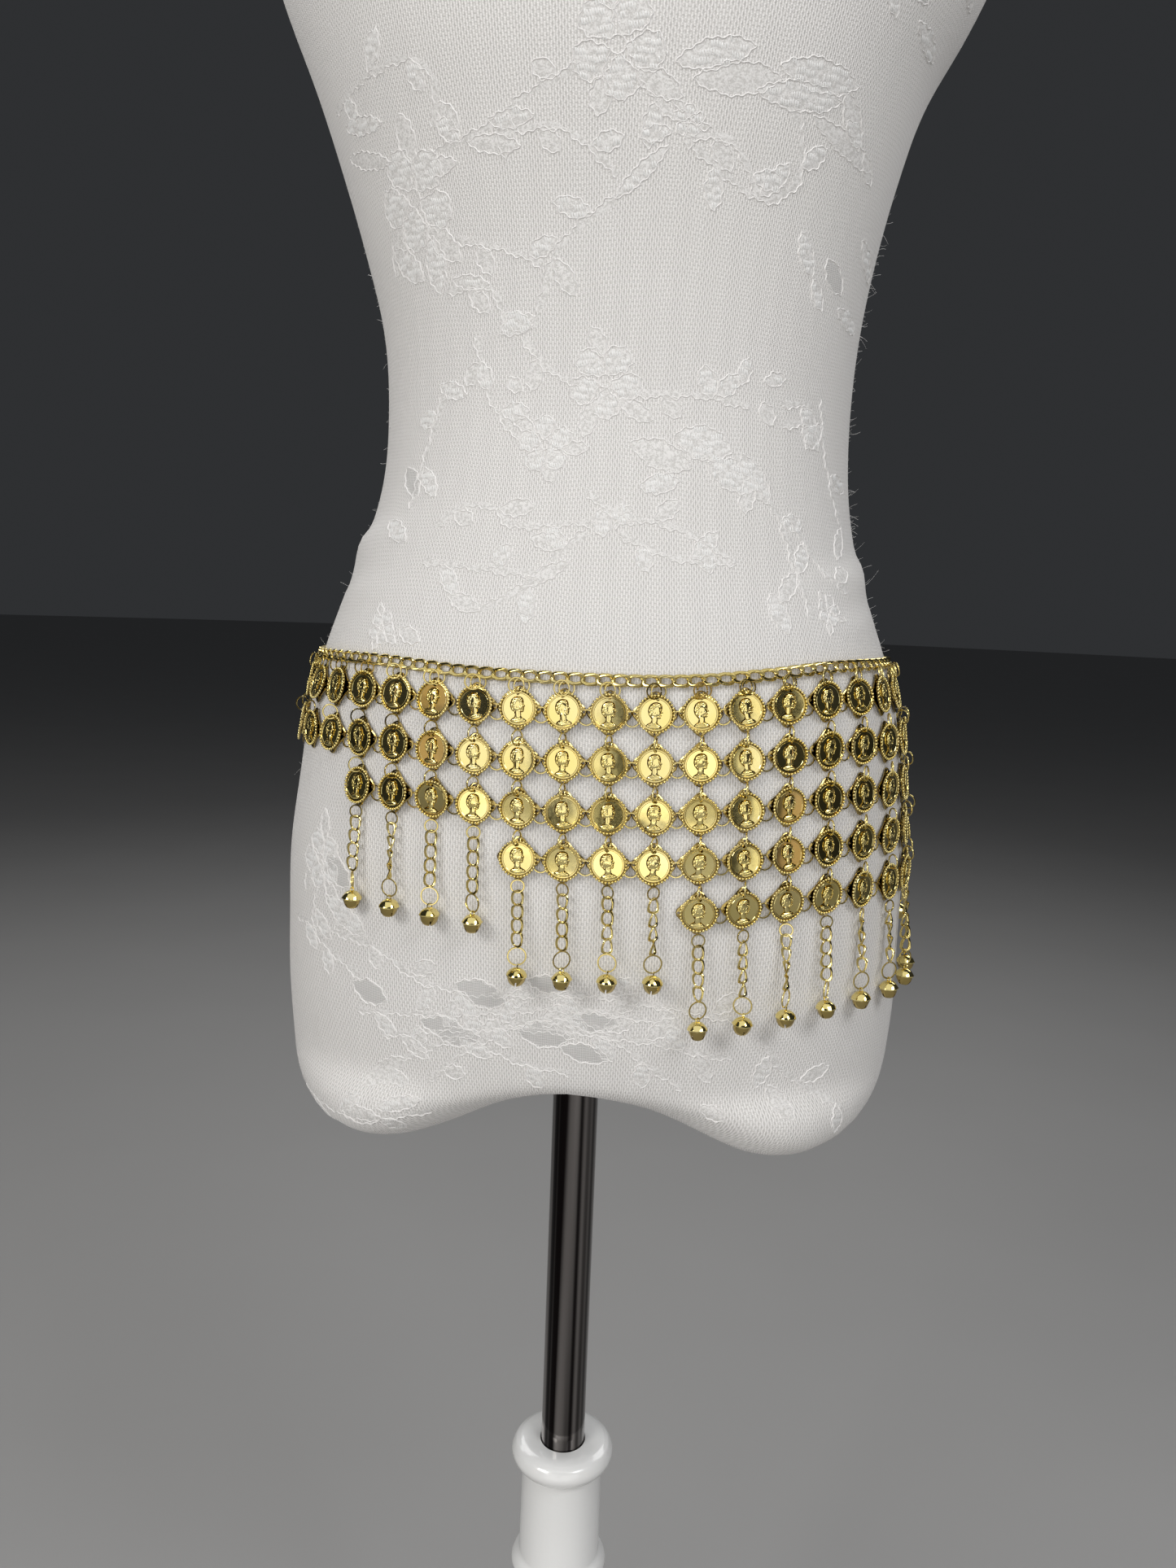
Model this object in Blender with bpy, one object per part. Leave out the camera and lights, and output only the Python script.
"""Coin waist chain worn on a limbless dress form that stands on a turned tripod.

Metres, +Z up, the front of the form faces -Y. Run it with
blender --background --python part.py, or from Blender's text editor.
"""

import math
from collections import namedtuple

import bmesh
import bpy
from mathutils import Matrix, Vector

# Driving dimensions
SEAM_GAP = 0.0003

COLUMN_PITCH = 0.0220
ROW_PITCH = 0.0246
FIRST_ROW_DROP = 0.0158
COIN_RADIUS = 0.0098
COIN_STACK = 0.0022
COIN_CLEARANCE = 0.0014
COIN_SIDES = 12
FREE_EAR_REACH = 0.0109
EAR_HEIGHT = 0.0040
HANGER_WIDTH = 0.0030
ROWS_OF_COLUMNS = [2] * 6 + [3] * 4 + [4] * 4 + [5] * 8 + [4] * 4 + [3] * 4 + [2] * 6
ROWS_WITHOUT_DROP = 2
COLUMNS_LEFT_OF_FRONT = 12
COLUMN_SHIFT = 0.0020
COLUMN_SLANT = 0.033

CHAIN_HEIGHT_FRONT = 0.9652
CHAIN_LINK_PITCH = COLUMN_PITCH / 3
CHAIN_LINK_WIDTH = 0.0058
CHAIN_LINK_THICKNESS = 0.0022
CHAIN_JOINT_WIDTH = 0.0036
CHAIN_JOINT_THICKNESS = 0.0030
CHAIN_END_LINKS = 2

CLASP_LENGTH = 0.0150
CLASP_SIDES = 8
EXTENDER_LINK_PITCH = 0.0075
EXTENDER_LINK_WIDTH = 0.0062

BELL_SIDES = 8
DROP_LEAN = 0.0036

FORM_SIDES = 32
FORM_SQUARENESS = 2.2
CROTCH_POINTS = 5
NECK_DOME_RISE = 0.006

POLE_RADIUS = 0.0137
POLE_TOP = 0.860
POLE_BOTTOM = 0.300
POLE_SIDES = 24
STAND_OFFSET = -0.0065

STEM_SIDES = 16
LEG_BLOCK_RADIUS = 0.034
LEG_COUNT = 3
LEG_WIDTH = 0.024
LEG_EDGE_ROUND = 0.003

# Height of the waist chain by distance along it, positive towards the wearer's left
ChainStation = namedtuple("ChainStation", "distance height")
CHAIN_STATIONS = [
    ChainStation(distance=-0.3000, height=0.9660),
    ChainStation(distance=-0.2000, height=0.9676),
    ChainStation(distance=-0.1100, height=0.9687),
    ChainStation(distance=-0.0550, height=0.9660),
    ChainStation(distance=0.0100, height=CHAIN_HEIGHT_FRONT),
    ChainStation(distance=0.0500, height=0.9662),
    ChainStation(distance=0.0850, height=0.9694),
    ChainStation(distance=0.1250, height=0.9737),
    ChainStation(distance=0.1650, height=0.9748),
    ChainStation(distance=0.2200, height=0.9742),
    ChainStation(distance=0.3200, height=0.9704),
    ChainStation(distance=0.4300, height=0.9665),
    ChainStation(distance=0.5670, height=0.9660),
]

FormSection = namedtuple("FormSection", "height half_width front back shift")
FORM_SECTIONS = [
    FormSection(height=0.745, half_width=0.1755, front=0.101, back=0.114, shift=-0.0020),
    FormSection(height=0.780, half_width=0.1775, front=0.106, back=0.120, shift=-0.0020),
    FormSection(height=0.820, half_width=0.1772, front=0.109, back=0.124, shift=-0.0020),
    FormSection(height=0.860, half_width=0.1762, front=0.111, back=0.124, shift=-0.0018),
    FormSection(height=0.900, half_width=0.1716, front=0.111, back=0.118, shift=-0.0008),
    FormSection(height=0.940, half_width=0.1662, front=0.110, back=0.110, shift=0.0000),
    FormSection(height=0.980, half_width=0.1550, front=0.106, back=0.101, shift=0.0000),
    FormSection(height=1.020, half_width=0.1390, front=0.100, back=0.092, shift=0.0005),
    FormSection(height=1.060, half_width=0.1284, front=0.095, back=0.085, shift=0.0024),
    FormSection(height=1.100, half_width=0.1259, front=0.092, back=0.082, shift=0.0026),
    FormSection(height=1.140, half_width=0.1281, front=0.094, back=0.083, shift=0.0020),
    FormSection(height=1.180, half_width=0.1360, front=0.099, back=0.087, shift=-0.0004),
    FormSection(height=1.220, half_width=0.1466, front=0.107, back=0.092, shift=-0.0024),
    FormSection(height=1.260, half_width=0.1597, front=0.115, back=0.097, shift=-0.0034),
    FormSection(height=1.300, half_width=0.1785, front=0.118, back=0.101, shift=-0.0012),
    FormSection(height=1.340, half_width=0.1930, front=0.112, back=0.104, shift=0.0000),
    FormSection(height=1.375, half_width=0.1980, front=0.101, back=0.103, shift=0.0000),
    FormSection(height=1.405, half_width=0.1900, front=0.089, back=0.097, shift=0.0000),
    FormSection(height=1.430, half_width=0.1620, front=0.077, back=0.088, shift=0.0000),
    FormSection(height=1.450, half_width=0.1160, front=0.067, back=0.077, shift=0.0000),
    FormSection(height=1.468, half_width=0.0760, front=0.060, back=0.067, shift=0.0000),
    FormSection(height=1.490, half_width=0.0600, front=0.056, back=0.060, shift=0.0000),
    FormSection(height=1.530, half_width=0.0560, front=0.054, back=0.056, shift=0.0000),
]
FORM_RING_HEIGHTS = [0.745, 0.770, 0.800, 0.835, 0.870, 0.905, 0.940, 0.970, 1.000, 1.030,
                     1.065, 1.100, 1.140, 1.180, 1.220, 1.260, 1.300, 1.335, 1.365, 1.395,
                     1.418, 1.436, 1.450, 1.464, 1.484, 1.530]

ThighSection = namedtuple("ThighSection", "height inner outer front back roundness")
THIGH_SECTIONS = [
    ThighSection(height=0.7385, inner=0.013, outer=0.1745, front=0.100, back=0.113, roundness=0.30),
    ThighSection(height=0.7310, inner=0.027, outer=0.1730, front=0.098, back=0.111, roundness=0.60),
    ThighSection(height=0.7190, inner=0.042, outer=0.1680, front=0.092, back=0.105, roundness=0.85),
    ThighSection(height=0.7070, inner=0.059, outer=0.1560, front=0.079, back=0.092, roundness=1.0),
    ThighSection(height=0.6990, inner=0.078, outer=0.1370, front=0.056, back=0.068, roundness=1.0),
]
CROTCH_ARCH_HEIGHT = 0.7405
CROTCH_EDGE_ROUND = 0.75

DropStation = namedtuple("DropStation", "drop width thickness")
DROP_STATIONS = [
    DropStation(drop=0.0136, width=0.0072, thickness=0.0014),
    DropStation(drop=0.0163, width=0.0022, thickness=0.0018),
    DropStation(drop=0.0197, width=0.0062, thickness=0.0014),
    DropStation(drop=0.0231, width=0.0020, thickness=0.0018),
    DropStation(drop=0.0265, width=0.0054, thickness=0.0016),
    DropStation(drop=0.0300, width=0.0020, thickness=0.0018),
    DropStation(drop=0.0334, width=0.0062, thickness=0.0014),
    DropStation(drop=0.0369, width=0.0020, thickness=0.0018),
    DropStation(drop=0.0403, width=0.0054, thickness=0.0016),
    DropStation(drop=0.0443, width=0.0022, thickness=0.0018),
    DropStation(drop=0.0486, width=0.0088, thickness=0.0012),
    DropStation(drop=0.0533, width=0.0020, thickness=0.0020),
]
BellSection = namedtuple("BellSection", "drop radius")
BELL_SECTIONS = [
    BellSection(drop=0.0554, radius=0.0026),
    BellSection(drop=0.0577, radius=0.0047),
    BellSection(drop=0.0604, radius=0.0051),
    BellSection(drop=0.0650, radius=0.0027),
]

StemSection = namedtuple("StemSection", "height radius")
STEM_SECTIONS = [
    StemSection(height=0.0780, radius=0.010),
    StemSection(height=0.0880, radius=0.022),
    StemSection(height=0.1060, radius=0.024),
    StemSection(height=0.1100, radius=LEG_BLOCK_RADIUS),
    StemSection(height=0.2000, radius=LEG_BLOCK_RADIUS),
    StemSection(height=0.2050, radius=0.026),
    StemSection(height=0.2270, radius=0.031),
    StemSection(height=0.2640, radius=0.037),
    StemSection(height=0.3120, radius=0.031),
    StemSection(height=0.3580, radius=0.0235),
    StemSection(height=0.3810, radius=0.0245),
    StemSection(height=0.3850, radius=0.0288),
    StemSection(height=0.3890, radius=0.0304),
    StemSection(height=0.3930, radius=0.0288),
    StemSection(height=0.3970, radius=0.0256),
    StemSection(height=0.4580, radius=0.0252),
    StemSection(height=0.4615, radius=0.0298),
    StemSection(height=0.4670, radius=0.0321),
    StemSection(height=0.4725, radius=0.0298),
    StemSection(height=0.4745, radius=0.0262),
]

LegSection = namedtuple("LegSection", "top_reach top_height bottom_reach bottom_height")
LEG_SECTIONS = [
    LegSection(top_reach=0.0, top_height=0.190, bottom_reach=0.0, bottom_height=0.128),
    LegSection(top_reach=0.030, top_height=0.193, bottom_reach=0.022, bottom_height=0.136),
    LegSection(top_reach=0.075, top_height=0.180, bottom_reach=0.055, bottom_height=0.132),
    LegSection(top_reach=0.118, top_height=0.143, bottom_reach=0.088, bottom_height=0.105),
    LegSection(top_reach=0.150, top_height=0.096, bottom_reach=0.119, bottom_height=0.066),
    LegSection(top_reach=0.179, top_height=0.054, bottom_reach=0.150, bottom_height=0.028),
    LegSection(top_reach=0.205, top_height=0.034, bottom_reach=0.190, bottom_height=0.0),
    LegSection(top_reach=0.244, top_height=0.024, bottom_reach=0.246, bottom_height=0.0),
]

Frame = namedtuple("Frame", "origin side down out")


def clear_scene():
    for item in list(bpy.data.objects):
        bpy.data.objects.remove(item, do_unlink=True)


def make_material(name, colour, roughness, metallic=0.0):
    material = bpy.data.materials.new(name)
    material.use_nodes = True
    shader = material.node_tree.nodes["Principled BSDF"]
    shader.inputs["Base Color"].default_value = (*colour, 1.0)
    shader.inputs["Roughness"].default_value = roughness
    shader.inputs["Metallic"].default_value = metallic
    return material


# Mesh helpers

def add_ring(bm, points):
    return [bm.verts.new(point) for point in points]


def bridge(bm, first, second):
    count = len(first)
    for k in range(count):
        after = (k + 1) % count
        bm.faces.new((first[k], first[after], second[after], second[k]))


def loft(bm, rings):
    for first, second in zip(rings, rings[1:]):
        bridge(bm, first, second)


def section_points(frame, width, thickness):
    """The four corners of a bar that runs along the frame's down direction."""
    across = frame.side * (width / 2)
    through = frame.out * (thickness / 2)
    return [frame.origin - across + through, frame.origin + across + through,
            frame.origin + across - through, frame.origin - across - through]


def finish_object(name, bm, material, placement, smooth_angle=None):
    """Turn the mesh, built in world space, into an object with its own origin."""
    bmesh.ops.recalc_face_normals(bm, faces=bm.faces)
    bm.transform(placement.inverted())
    mesh = bpy.data.meshes.new(name)
    bm.to_mesh(mesh)
    bm.free()
    mesh.materials.append(material)
    if smooth_angle is not None:
        mesh.shade_smooth()
        mesh.set_sharp_from_angle(angle=math.radians(smooth_angle))
    item = bpy.data.objects.new(name, mesh)
    item.matrix_world = placement
    bpy.context.collection.objects.link(item)
    return item


# The dress form

def cubic_blend(rows, heights, height):
    """Values of a table between its rows, on a smooth curve through them."""
    last = len(rows) - 1
    low = max(k for k in range(last) if heights[k] <= height or k == 0)
    high = low + 1
    span = heights[high] - heights[low]
    t = min(max((height - heights[low]) / span, 0.0), 1.0)
    values = []
    for column in range(1, len(rows[0])):
        a = rows[low][column]
        b = rows[high][column]
        before = rows[max(low - 1, 0)]
        beyond = rows[min(high + 1, last)]
        slope_a = (b - before[column]) / (heights[high] - before[0])
        slope_b = (beyond[column] - a) / (beyond[0] - heights[low])
        values.append(a * (2 * t ** 3 - 3 * t ** 2 + 1) + b * (3 * t ** 2 - 2 * t ** 3)
                      + span * slope_a * (t ** 3 - 2 * t ** 2 + t) + span * slope_b * (t ** 3 - t ** 2))
    return values


def smooth_form_section(height):
    heights = [row.height for row in FORM_SECTIONS]
    return cubic_blend(FORM_SECTIONS, heights, height)


FORM_RING_SECTIONS = [smooth_form_section(height) for height in FORM_RING_HEIGHTS]


def form_section(height):
    """The form's section as its rings are joined, so straight between them."""
    last = len(FORM_RING_HEIGHTS) - 1
    low = max(k for k in range(last) if FORM_RING_HEIGHTS[k] <= height or k == 0)
    t = (height - FORM_RING_HEIGHTS[low]) / (FORM_RING_HEIGHTS[low + 1] - FORM_RING_HEIGHTS[low])
    return [a + (b - a) * t for a, b in zip(FORM_RING_SECTIONS[low], FORM_RING_SECTIONS[low + 1])]


def outline_point(section, angle):
    """A point of a section's outline; the angle runs anticlockwise from the front centre."""
    half_width, front, back, shift = section
    across = math.sin(angle)
    along = -math.cos(angle)
    power = 2 / FORM_SQUARENESS
    x = shift + half_width * math.copysign(abs(across) ** power, across)
    depth = back if along > 0 else front
    y = depth * math.copysign(abs(along) ** power, along)
    return Vector((x, y, 0))


def outside_measure(section, point):
    """Negative inside the outline, zero on it and positive outside it."""
    half_width, front, back, shift = section
    depth = back if point.y > 0 else front
    across = abs((point.x - shift) / half_width) ** FORM_SQUARENESS
    return across + abs(point.y / depth) ** FORM_SQUARENESS - 1


def distance_along(section, point, direction):
    """How far the outline lies from a plan point, measured along a plan direction."""
    low, high = -0.04, 0.06
    for _ in range(40):
        middle = (low + high) / 2
        if outside_measure(section, point + direction * middle) > 0:
            high = middle
        else:
            low = middle
    return (low + high) / 2


def thigh_ring(bm, base_points, base_row, row, mirror, shift):
    """One ring of a thigh stub, blended from the form's outline towards an ellipse."""
    base_centre = Vector(((base_row.inner + base_row.outer) / 2, (base_row.back - base_row.front) / 2, 0))
    base_half_width = (base_row.outer - base_row.inner) / 2
    base_half_depth = (base_row.back + base_row.front) / 2
    centre = Vector(((row.inner + row.outer) / 2, (row.back - row.front) / 2, row.height))
    half_width = (row.outer - row.inner) / 2
    half_depth = (row.back + row.front) / 2
    points = []
    for point in base_points:
        across = (point.x - base_centre.x) / base_half_width
        along = (point.y - base_centre.y) / base_half_depth
        length = math.hypot(across, along)
        keep = 1 - row.roundness + row.roundness / length
        offset = Vector((across * keep * half_width, along * keep * half_depth, 0))
        place = centre + offset
        points.append(Vector((place.x * mirror + shift, place.y, place.z)))
    return add_ring(bm, points)


def crotch_row(bm, front_point, back_point):
    """The ridge between the thigh stubs, from the front centre to the back centre."""
    row = []
    for k in range(1, CROTCH_POINTS + 1):
        along = -math.cos(math.pi * k / (CROTCH_POINTS + 1))
        y = (front_point.y + back_point.y) / 2 + along * (back_point.y - front_point.y) / 2
        edge = abs(along) ** 6 * CROTCH_EDGE_ROUND
        z = CROTCH_ARCH_HEIGHT + (front_point.z - CROTCH_ARCH_HEIGHT) * edge
        row.append(bm.verts.new((front_point.x, y, z)))
    return row


def build_form(material):
    bm = bmesh.new()
    angles = [2 * math.pi * k / FORM_SIDES for k in range(FORM_SIDES)]
    rings = []
    for height, section in zip(FORM_RING_HEIGHTS, FORM_RING_SECTIONS):
        rings.append(add_ring(bm, [outline_point(section, angle) + Vector((0, 0, height)) for angle in angles]))
    loft(bm, rings)

    top = FORM_RING_HEIGHTS[-1]
    dome_rings = [rings[-1]]
    for inset, rise in ((0.92, 0.5), (0.7, 0.9), (0.35, 1.0)):
        height = top + NECK_DOME_RISE * rise
        section = [value * inset for value in FORM_RING_SECTIONS[-1]]
        dome_rings.append(add_ring(bm, [outline_point(section, a) + Vector((0, 0, height)) for a in angles]))
    loft(bm, dome_rings)
    bm.faces.new(dome_rings[-1])

    base = rings[0]
    half = FORM_SIDES // 2
    ridge = crotch_row(bm, base[0].co, base[half].co)
    half_width, front, back, shift = FORM_RING_SECTIONS[0]
    base_row = ThighSection(FORM_RING_HEIGHTS[0], 0.0, half_width, front, back, 0.0)
    for mirror in (1, -1):
        side = base[:half + 1] if mirror == 1 else [base[0]] + base[:half - 1:-1]
        loop = side + ridge[::-1]
        base_points = [Vector((abs(vert.co.x - shift), vert.co.y, 0)) for vert in loop]
        thigh = [loop] + [thigh_ring(bm, base_points, base_row, row, mirror, shift) for row in THIGH_SECTIONS]
        loft(bm, thigh)
        bm.faces.new(thigh[-1])

    form = finish_object("dress_form", bm, material, Matrix.Identity(4), smooth_angle=50)
    bore = make_cylinder("pole_bore_cutter", POLE_RADIUS + SEAM_GAP, CROTCH_ARCH_HEIGHT - 0.06,
                         POLE_TOP + SEAM_GAP, None)
    bore.hide_render = True
    bore.display_type = "WIRE"
    cut = form.modifiers.new("pole bore", "BOOLEAN")
    cut.operation = "DIFFERENCE"
    cut.object = bore
    return form


# The path of the belt

class BeltPath:
    """Places on the form along the waist chain, by distance along the chain's own middle line."""

    def __init__(self, lift, samples=1440):
        section = form_section(CHAIN_HEIGHT_FRONT)
        self.points = [outline_point(section, 2 * math.pi * k / samples) for k in range(samples + 1)]
        steps = [second - first for first, second in zip(self.points, self.points[1:])]
        self.lengths = [0.0]
        for k, step in enumerate(steps):
            turn = step.angle(steps[(k + 1) % samples])
            self.lengths.append(self.lengths[-1] + step.length + lift * turn)
        self.total = self.lengths[-1]

    def plan_point(self, distance):
        distance %= self.total
        low, high = 0, len(self.lengths) - 1
        while high - low > 1:
            middle = (low + high) // 2
            if self.lengths[middle] <= distance:
                low = middle
            else:
                high = middle
        t = (distance - self.lengths[low]) / (self.lengths[high] - self.lengths[low])
        return self.points[low].lerp(self.points[high], t)

    def plan_frame(self, distance, reach=0.008):
        """Plan point, direction along the belt and outward direction."""
        along = (self.plan_point(distance + reach) - self.plan_point(distance - reach)).normalized()
        return self.plan_point(distance), along, Vector((along.y, -along.x, 0))

    def chain_height(self, distance):
        first = CHAIN_STATIONS[0].distance
        distance = (distance - first) % self.total + first
        stations = [row.distance for row in CHAIN_STATIONS]
        return cubic_blend(CHAIN_STATIONS, stations, distance)[0]

    def surface_frame(self, distance, lift):
        """A frame on the waist chain's line, lifted off the form's surface."""
        point, along, outward = self.plan_frame(distance)
        height = self.chain_height(distance)
        step = 0.003
        upper = distance_along(form_section(height + step), point, outward)
        lower = distance_along(form_section(height - step), point, outward)
        down = (outward * (lower - upper) + Vector((0, 0, -2 * step))).normalized()
        out = along.cross(down) * -1
        origin = point + outward * ((upper + lower) / 2) + Vector((0, 0, height)) + out * lift
        return Frame(origin, along, down, out)


class HangingLine:
    """The line that a column follows: over the form's surface, then down, a little askew."""

    STEP = 0.002
    LENGTH = 0.200

    def __init__(self, path, distance, lift):
        self.point, self.along, self.outward = path.plan_frame(distance)
        self.lift = lift
        height = path.chain_height(distance)
        reach = distance_along(form_section(height), self.point, self.outward)
        self.rows = [(0.0, height, reach)]
        while self.rows[-1][0] < self.LENGTH:
            travelled, height, reach = self.rows[-1]
            height_below = height - self.STEP
            surface = distance_along(form_section(height_below), self.point, self.outward)
            reach_below = max(reach, surface)
            travelled += math.hypot(self.STEP, reach_below - reach)
            self.rows.append((travelled, height_below, reach_below))

    def surface_at(self, drop):
        k = min(int(drop / self.STEP), len(self.rows) - 2)
        while self.rows[k][0] > drop and k > 0:
            k -= 1
        a, b = self.rows[k], self.rows[k + 1]
        t = (drop - a[0]) / (b[0] - a[0])
        return a[1] + (b[1] - a[1]) * t, a[2] + (b[2] - a[2]) * t

    def frame_at(self, drop, lean=0.0):
        reach = 0.006
        height_above, out_above = self.surface_at(max(drop - reach, 0.0))
        height_below, out_below = self.surface_at(drop + reach)
        down = (self.outward * (out_below - out_above)
                + Vector((0, 0, height_below - height_above))).normalized()
        out = self.along.cross(down) * -1
        height, reach_out = self.surface_at(drop)
        origin = self.point + self.outward * reach_out + Vector((0, 0, height)) + out * (self.lift + lean)
        origin += self.along * (drop * COLUMN_SLANT)
        return Frame(origin, self.along, down, out)


# The belt

def add_coin(bm, frame):
    """A coin with its backing plate; returns its front and back rims."""
    corner_radius = COIN_RADIUS / math.cos(math.pi / COIN_SIDES)
    rims = []
    for through in (COIN_STACK / 2, -COIN_STACK / 2):
        points = []
        for k in range(COIN_SIDES):
            angle = 2 * math.pi * (k + 0.5) / COIN_SIDES
            spoke = frame.down * math.cos(angle) + frame.side * math.sin(angle)
            points.append(frame.origin + spoke * corner_radius + frame.out * through)
        rims.append(add_ring(bm, points))
        bm.faces.new(rims[-1])
    return rims


def coin_facet(rims, first, second):
    front, back = rims
    return [front[first], front[second], back[second], back[first]]


# The rim's corners beside each of the four facets that carry an ear
BOTTOM_FACET = (11, 0)
TOP_FACET = (6, 5)
RIGHT_FACET = (3, 2)
LEFT_FACET = (8, 9)
PLAIN_FACETS = [(k, k + 1) for k in range(COIN_SIDES - 1) if k not in (2, 5, 8)]


def add_ear(bm, rims, facet, tip_points):
    tip = add_ring(bm, tip_points)
    bridge(bm, coin_facet(rims, *facet), tip)
    bm.faces.new(tip)


def shared_ear_tip(frame, neighbour, towards):
    """The ear's end face, half a seam gap short of the middle between two coins."""
    apart = (neighbour.origin - frame.origin)
    direction = apart.normalized()
    middle = frame.origin + apart / 2 - direction * (SEAM_GAP / 2)
    down = (frame.down + neighbour.down).normalized()
    through = direction.cross(down) * (-1 if towards > 0 else 1)
    half_height = down * (EAR_HEIGHT / 2)
    half_stack = through * (COIN_STACK / 2)
    return [middle - half_height + half_stack, middle + half_height + half_stack,
            middle + half_height - half_stack, middle - half_height - half_stack]


def free_ear_tip(frame, towards):
    middle = frame.origin + frame.side * (FREE_EAR_REACH * towards)
    half_height = frame.down * (EAR_HEIGHT / 2)
    half_stack = frame.out * (COIN_STACK / 2)
    return [middle - half_height + half_stack, middle + half_height + half_stack,
            middle + half_height - half_stack, middle - half_height - half_stack]


def bell_ring(bm, frame, radius):
    points = []
    for k in range(BELL_SIDES):
        angle = 2 * math.pi * k / BELL_SIDES
        points.append(frame.origin + (frame.side * math.cos(angle) + frame.out * math.sin(angle)) * radius)
    return add_ring(bm, points)


def join_square_to_bell(bm, square, ring):
    """Close the step from the drop's four corners to the bell's eight."""
    corner_places = (3, 1, 7, 5)
    for k in range(4):
        after = (k + 1) % 4
        start = corner_places[k]
        middle = (start - 1) % BELL_SIDES
        end = (start - 2) % BELL_SIDES
        bm.faces.new((square[k], ring[start], ring[middle]))
        bm.faces.new((square[k], ring[middle], square[after]))
        bm.faces.new((square[after], ring[middle], ring[end]))


def add_drop(bm, line, start, last_facet):
    """The small chain that hangs from the last coin, and the jingle bell at its end."""
    total = BELL_SECTIONS[-1].drop

    def frame_below(drop):
        t = min(drop / total, 1.0)
        return line.frame_at(start + drop, DROP_LEAN * t * t * (3 - 2 * t))

    squares = [last_facet]
    for station in DROP_STATIONS:
        squares.append(add_ring(bm, section_points(frame_below(station.drop), station.width,
                                                   station.thickness)))
    loft(bm, squares)
    rings = [bell_ring(bm, frame_below(row.drop), row.radius) for row in BELL_SECTIONS]
    join_square_to_bell(bm, squares[-1], rings[0])
    loft(bm, rings)
    bm.faces.new(rings[-1])


def column_distance(column):
    return (column - COLUMNS_LEFT_OF_FRONT + 0.5) * COLUMN_PITCH + COLUMN_SHIFT


def coin_drop(row):
    return FIRST_ROW_DROP + row * ROW_PITCH


def build_column(column, lines, material):
    line = lines[column]
    rows = ROWS_OF_COLUMNS[column]
    bm = bmesh.new()
    facet_above = None
    for row in range(rows):
        frame = line.frame_at(coin_drop(row))
        rims = add_coin(bm, frame)
        for facet in PLAIN_FACETS:
            bm.faces.new(coin_facet(rims, *facet))
        for facet, step in ((RIGHT_FACET, 1), (LEFT_FACET, -1)):
            beside = column + step
            if 0 <= beside < len(lines) and ROWS_OF_COLUMNS[beside] > row:
                tip = shared_ear_tip(frame, lines[beside].frame_at(coin_drop(row)), step)
            else:
                tip = free_ear_tip(frame, step)
            add_ear(bm, rims, facet, tip)
        top = coin_facet(rims, *TOP_FACET)
        if facet_above is None:
            hanger = line.frame_at(CHAIN_LINK_WIDTH / 2 + SEAM_GAP)
            tip = add_ring(bm, section_points(hanger, HANGER_WIDTH, COIN_STACK))
            bridge(bm, top, tip)
            bm.faces.new(tip)
        else:
            bridge(bm, facet_above, top)
        facet_above = coin_facet(rims, *BOTTOM_FACET)
    if rows > ROWS_WITHOUT_DROP:
        add_drop(bm, line, coin_drop(rows - 1), facet_above)
    else:
        bm.faces.new(facet_above)
    top_frame = line.frame_at(0.0)
    placement = Matrix.Translation(top_frame.origin) @ Matrix.Rotation(
        math.atan2(top_frame.side.y, top_frame.side.x), 4, "Z")
    return finish_object(f"coin_column_{column + 1:02d}", bm, material, placement, smooth_angle=35)


def link_section(path, distance, width, thickness):
    lift = SEAM_GAP + CHAIN_JOINT_THICKNESS / 2
    frame = path.surface_frame(distance, lift)
    half_width = frame.down * (width / 2)
    half_thickness = frame.out * (thickness / 2)
    return [frame.origin - half_width + half_thickness, frame.origin + half_width + half_thickness,
            frame.origin + half_width - half_thickness, frame.origin - half_width - half_thickness]


def build_chain(name, path, start, end, pitch, width, material):
    """A run of links along the belt, narrow where two links meet and wide between."""
    links = max(round((end - start) / pitch), 1)
    bm = bmesh.new()
    sections = []
    for k in range(2 * links + 1):
        distance = start + (end - start) * k / (2 * links)
        if k % 2:
            points = link_section(path, distance, width, CHAIN_LINK_THICKNESS)
        else:
            points = link_section(path, distance, CHAIN_JOINT_WIDTH, CHAIN_JOINT_THICKNESS)
        sections.append(add_ring(bm, points))
    loft(bm, sections)
    bm.faces.new(sections[0])
    bm.faces.new(sections[-1])
    placement = Matrix.Translation(path.surface_frame((start + end) / 2, 0.0).origin)
    return finish_object(name, bm, material, placement, smooth_angle=35)


ClaspSection = namedtuple("ClaspSection", "share width thickness")
CLASP_SECTIONS = [
    ClaspSection(share=0.0, width=0.0020, thickness=0.0020),
    ClaspSection(share=0.16, width=0.0030, thickness=0.0022),
    ClaspSection(share=0.34, width=0.0068, thickness=0.0030),
    ClaspSection(share=0.62, width=0.0080, thickness=0.0030),
    ClaspSection(share=0.86, width=0.0056, thickness=0.0028),
    ClaspSection(share=1.0, width=0.0020, thickness=0.0020),
]


def build_clasp(path, start, end, material):
    bm = bmesh.new()
    rings = []
    for row in CLASP_SECTIONS:
        frame = path.surface_frame(start + (end - start) * row.share, SEAM_GAP + CHAIN_JOINT_THICKNESS / 2)
        points = []
        for k in range(CLASP_SIDES):
            angle = 2 * math.pi * (k + 0.5) / CLASP_SIDES
            points.append(frame.origin + frame.down * (math.cos(angle) * row.width / 2)
                          + frame.out * (math.sin(angle) * row.thickness / 2))
        rings.append(add_ring(bm, points))
    loft(bm, rings)
    bm.faces.new(rings[0])
    bm.faces.new(rings[-1])
    placement = Matrix.Translation(path.surface_frame((start + end) / 2, 0.0).origin)
    return finish_object("clasp", bm, material, placement, smooth_angle=40)


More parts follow.
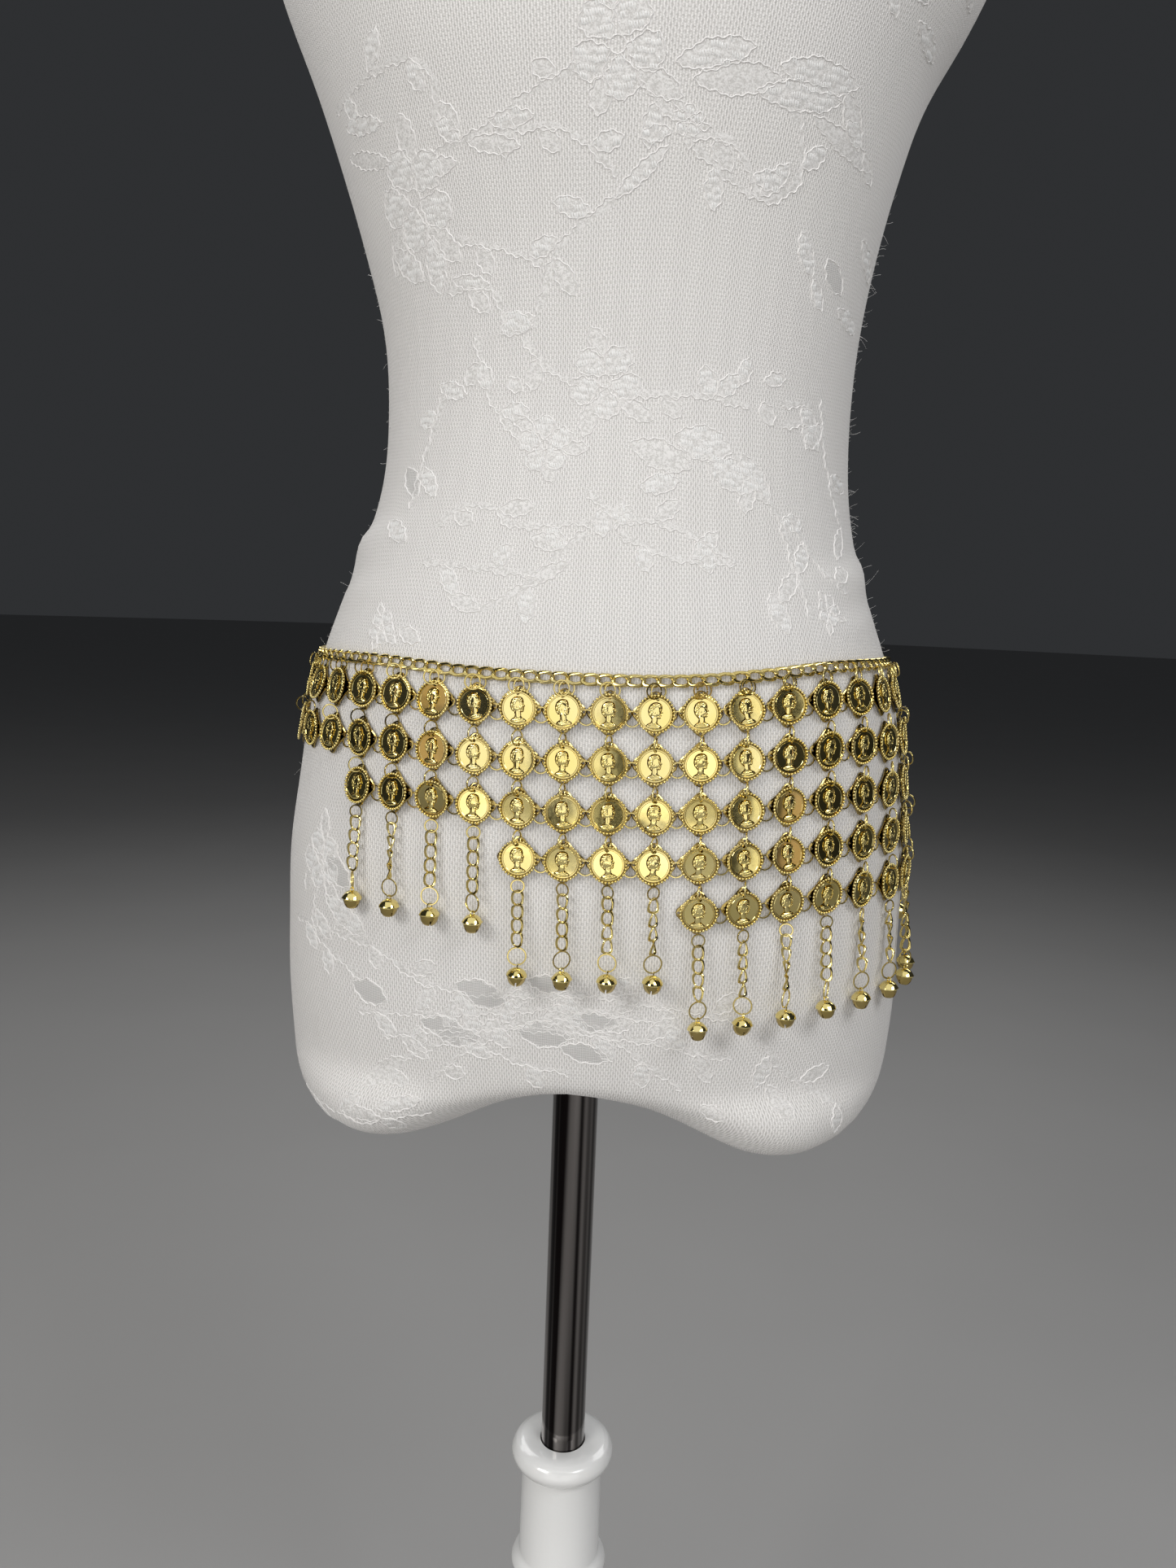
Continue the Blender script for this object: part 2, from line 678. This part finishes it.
def build_belt(material):
    path = BeltPath(SEAM_GAP + CHAIN_JOINT_THICKNESS / 2)
    lift = COIN_CLEARANCE + COIN_STACK / 2
    lines = [HangingLine(path, column_distance(k), lift) for k in range(len(ROWS_OF_COLUMNS))]
    pieces = [build_column(k, lines, material) for k in range(len(lines))]

    end_reach = CHAIN_END_LINKS * CHAIN_LINK_PITCH
    left_end = column_distance(0) - end_reach
    right_end = column_distance(len(lines) - 1) + end_reach
    half_gap = SEAM_GAP / 2
    pieces.append(build_chain("waist_chain_left", path, left_end, -half_gap, CHAIN_LINK_PITCH,
                              CHAIN_LINK_WIDTH, material))
    pieces.append(build_chain("waist_chain_right", path, half_gap, right_end, CHAIN_LINK_PITCH,
                              CHAIN_LINK_WIDTH, material))
    clasp_start = right_end + SEAM_GAP
    clasp_end = clasp_start + CLASP_LENGTH
    pieces.append(build_clasp(path, clasp_start, clasp_end, material))
    pieces.append(build_chain("extender_chain", path, clasp_end + SEAM_GAP,
                              path.total + left_end - SEAM_GAP, EXTENDER_LINK_PITCH,
                              EXTENDER_LINK_WIDTH, material))
    return pieces


# The stand

def make_cylinder(name, radius, bottom, top, material, sides=POLE_SIDES):
    bm = bmesh.new()
    bmesh.ops.create_cone(bm, cap_ends=True, segments=sides, radius1=radius, radius2=radius,
                          depth=top - bottom)
    placement = Matrix.Translation((STAND_OFFSET, 0, (bottom + top) / 2))
    bm.transform(placement)
    if material is None:
        material = bpy.data.materials.get("cutter") or bpy.data.materials.new("cutter")
    return finish_object(name, bm, material, placement, smooth_angle=40)


def build_stem(material):
    """A turned stem with a blind bore for the pole, as one closed profile about the axis."""
    bore = POLE_RADIUS + SEAM_GAP
    profile = [(row.radius, row.height) for row in STEM_SECTIONS]
    profile += [(bore, STEM_SECTIONS[-1].height), (bore, POLE_BOTTOM - SEAM_GAP)]
    bm = bmesh.new()
    rings = []
    for radius, height in profile:
        rings.append(add_ring(bm, [(radius * math.cos(2 * math.pi * k / STEM_SIDES) + STAND_OFFSET,
                                    radius * math.sin(2 * math.pi * k / STEM_SIDES), height)
                                   for k in range(STEM_SIDES)]))
    loft(bm, rings)
    bm.faces.new(rings[0])
    bm.faces.new(rings[-1])
    return finish_object("turned_stem", bm, material, Matrix.Translation((STAND_OFFSET, 0, 0)), smooth_angle=35)


def build_leg(index, material):
    """A curved leg that butts on the stem and ends in a flat foot on the floor."""
    angle = math.pi / 2 + 2 * math.pi * index / LEG_COUNT
    outward = Vector((math.cos(angle), math.sin(angle), 0))
    across = Vector((-outward.y, outward.x, 0)) * (LEG_WIDTH / 2)
    root = Vector((STAND_OFFSET, 0, 0)) + outward * (LEG_BLOCK_RADIUS + SEAM_GAP)
    bm = bmesh.new()
    rings = []
    for row in LEG_SECTIONS:
        top = root + outward * row.top_reach + Vector((0, 0, row.top_height))
        bottom = root + outward * row.bottom_reach + Vector((0, 0, row.bottom_height))
        rings.append(add_ring(bm, [top - across, top + across, bottom + across, bottom - across]))
    loft(bm, rings)
    bm.faces.new(rings[0])
    bm.faces.new(rings[-1])
    placement = Matrix.Translation(root) @ Matrix.Rotation(angle, 4, "Z")
    leg = finish_object(f"leg_{index + 1}", bm, material, placement)
    rounding = leg.modifiers.new("rounded edges", "BEVEL")
    rounding.width = LEG_EDGE_ROUND
    rounding.segments = 1
    rounding.limit_method = "ANGLE"
    rounding.angle_limit = math.radians(40)
    return leg


def build_stand(chrome, painted_wood):
    pole = make_cylinder("pole", POLE_RADIUS, POLE_BOTTOM, POLE_TOP, chrome)
    stem = build_stem(painted_wood)
    legs = [build_leg(k, painted_wood) for k in range(LEG_COUNT)]
    return [pole, stem, *legs]


def stand_on_frame(pieces):
    """Parent every piece to one empty that puts the middle of the part's plan at the origin."""
    bpy.context.view_layer.update()
    corners = [piece.matrix_world @ vert.co for piece in pieces for vert in piece.data.vertices]
    middle_x = (min(c.x for c in corners) + max(c.x for c in corners)) / 2
    middle_y = (min(c.y for c in corners) + max(c.y for c in corners)) / 2
    root = bpy.data.objects.new("part_frame", None)
    bpy.context.collection.objects.link(root)
    for piece in pieces + [bpy.data.objects["pole_bore_cutter"]]:
        piece.parent = root
    root.location = (-middle_x, -middle_y, 0)


def main():
    clear_scene()
    cloth = make_material("lace_cloth", (0.80, 0.77, 0.72), 0.85)
    gold = make_material("gold_metal", (0.90, 0.62, 0.20), 0.20, metallic=1.0)
    chrome = make_material("chrome", (0.72, 0.72, 0.74), 0.06, metallic=1.0)
    painted_wood = make_material("white_gloss_wood", (0.86, 0.85, 0.83), 0.15)
    pieces = [build_form(cloth)]
    pieces += build_belt(gold)
    pieces += build_stand(chrome, painted_wood)
    stand_on_frame(pieces)


main()
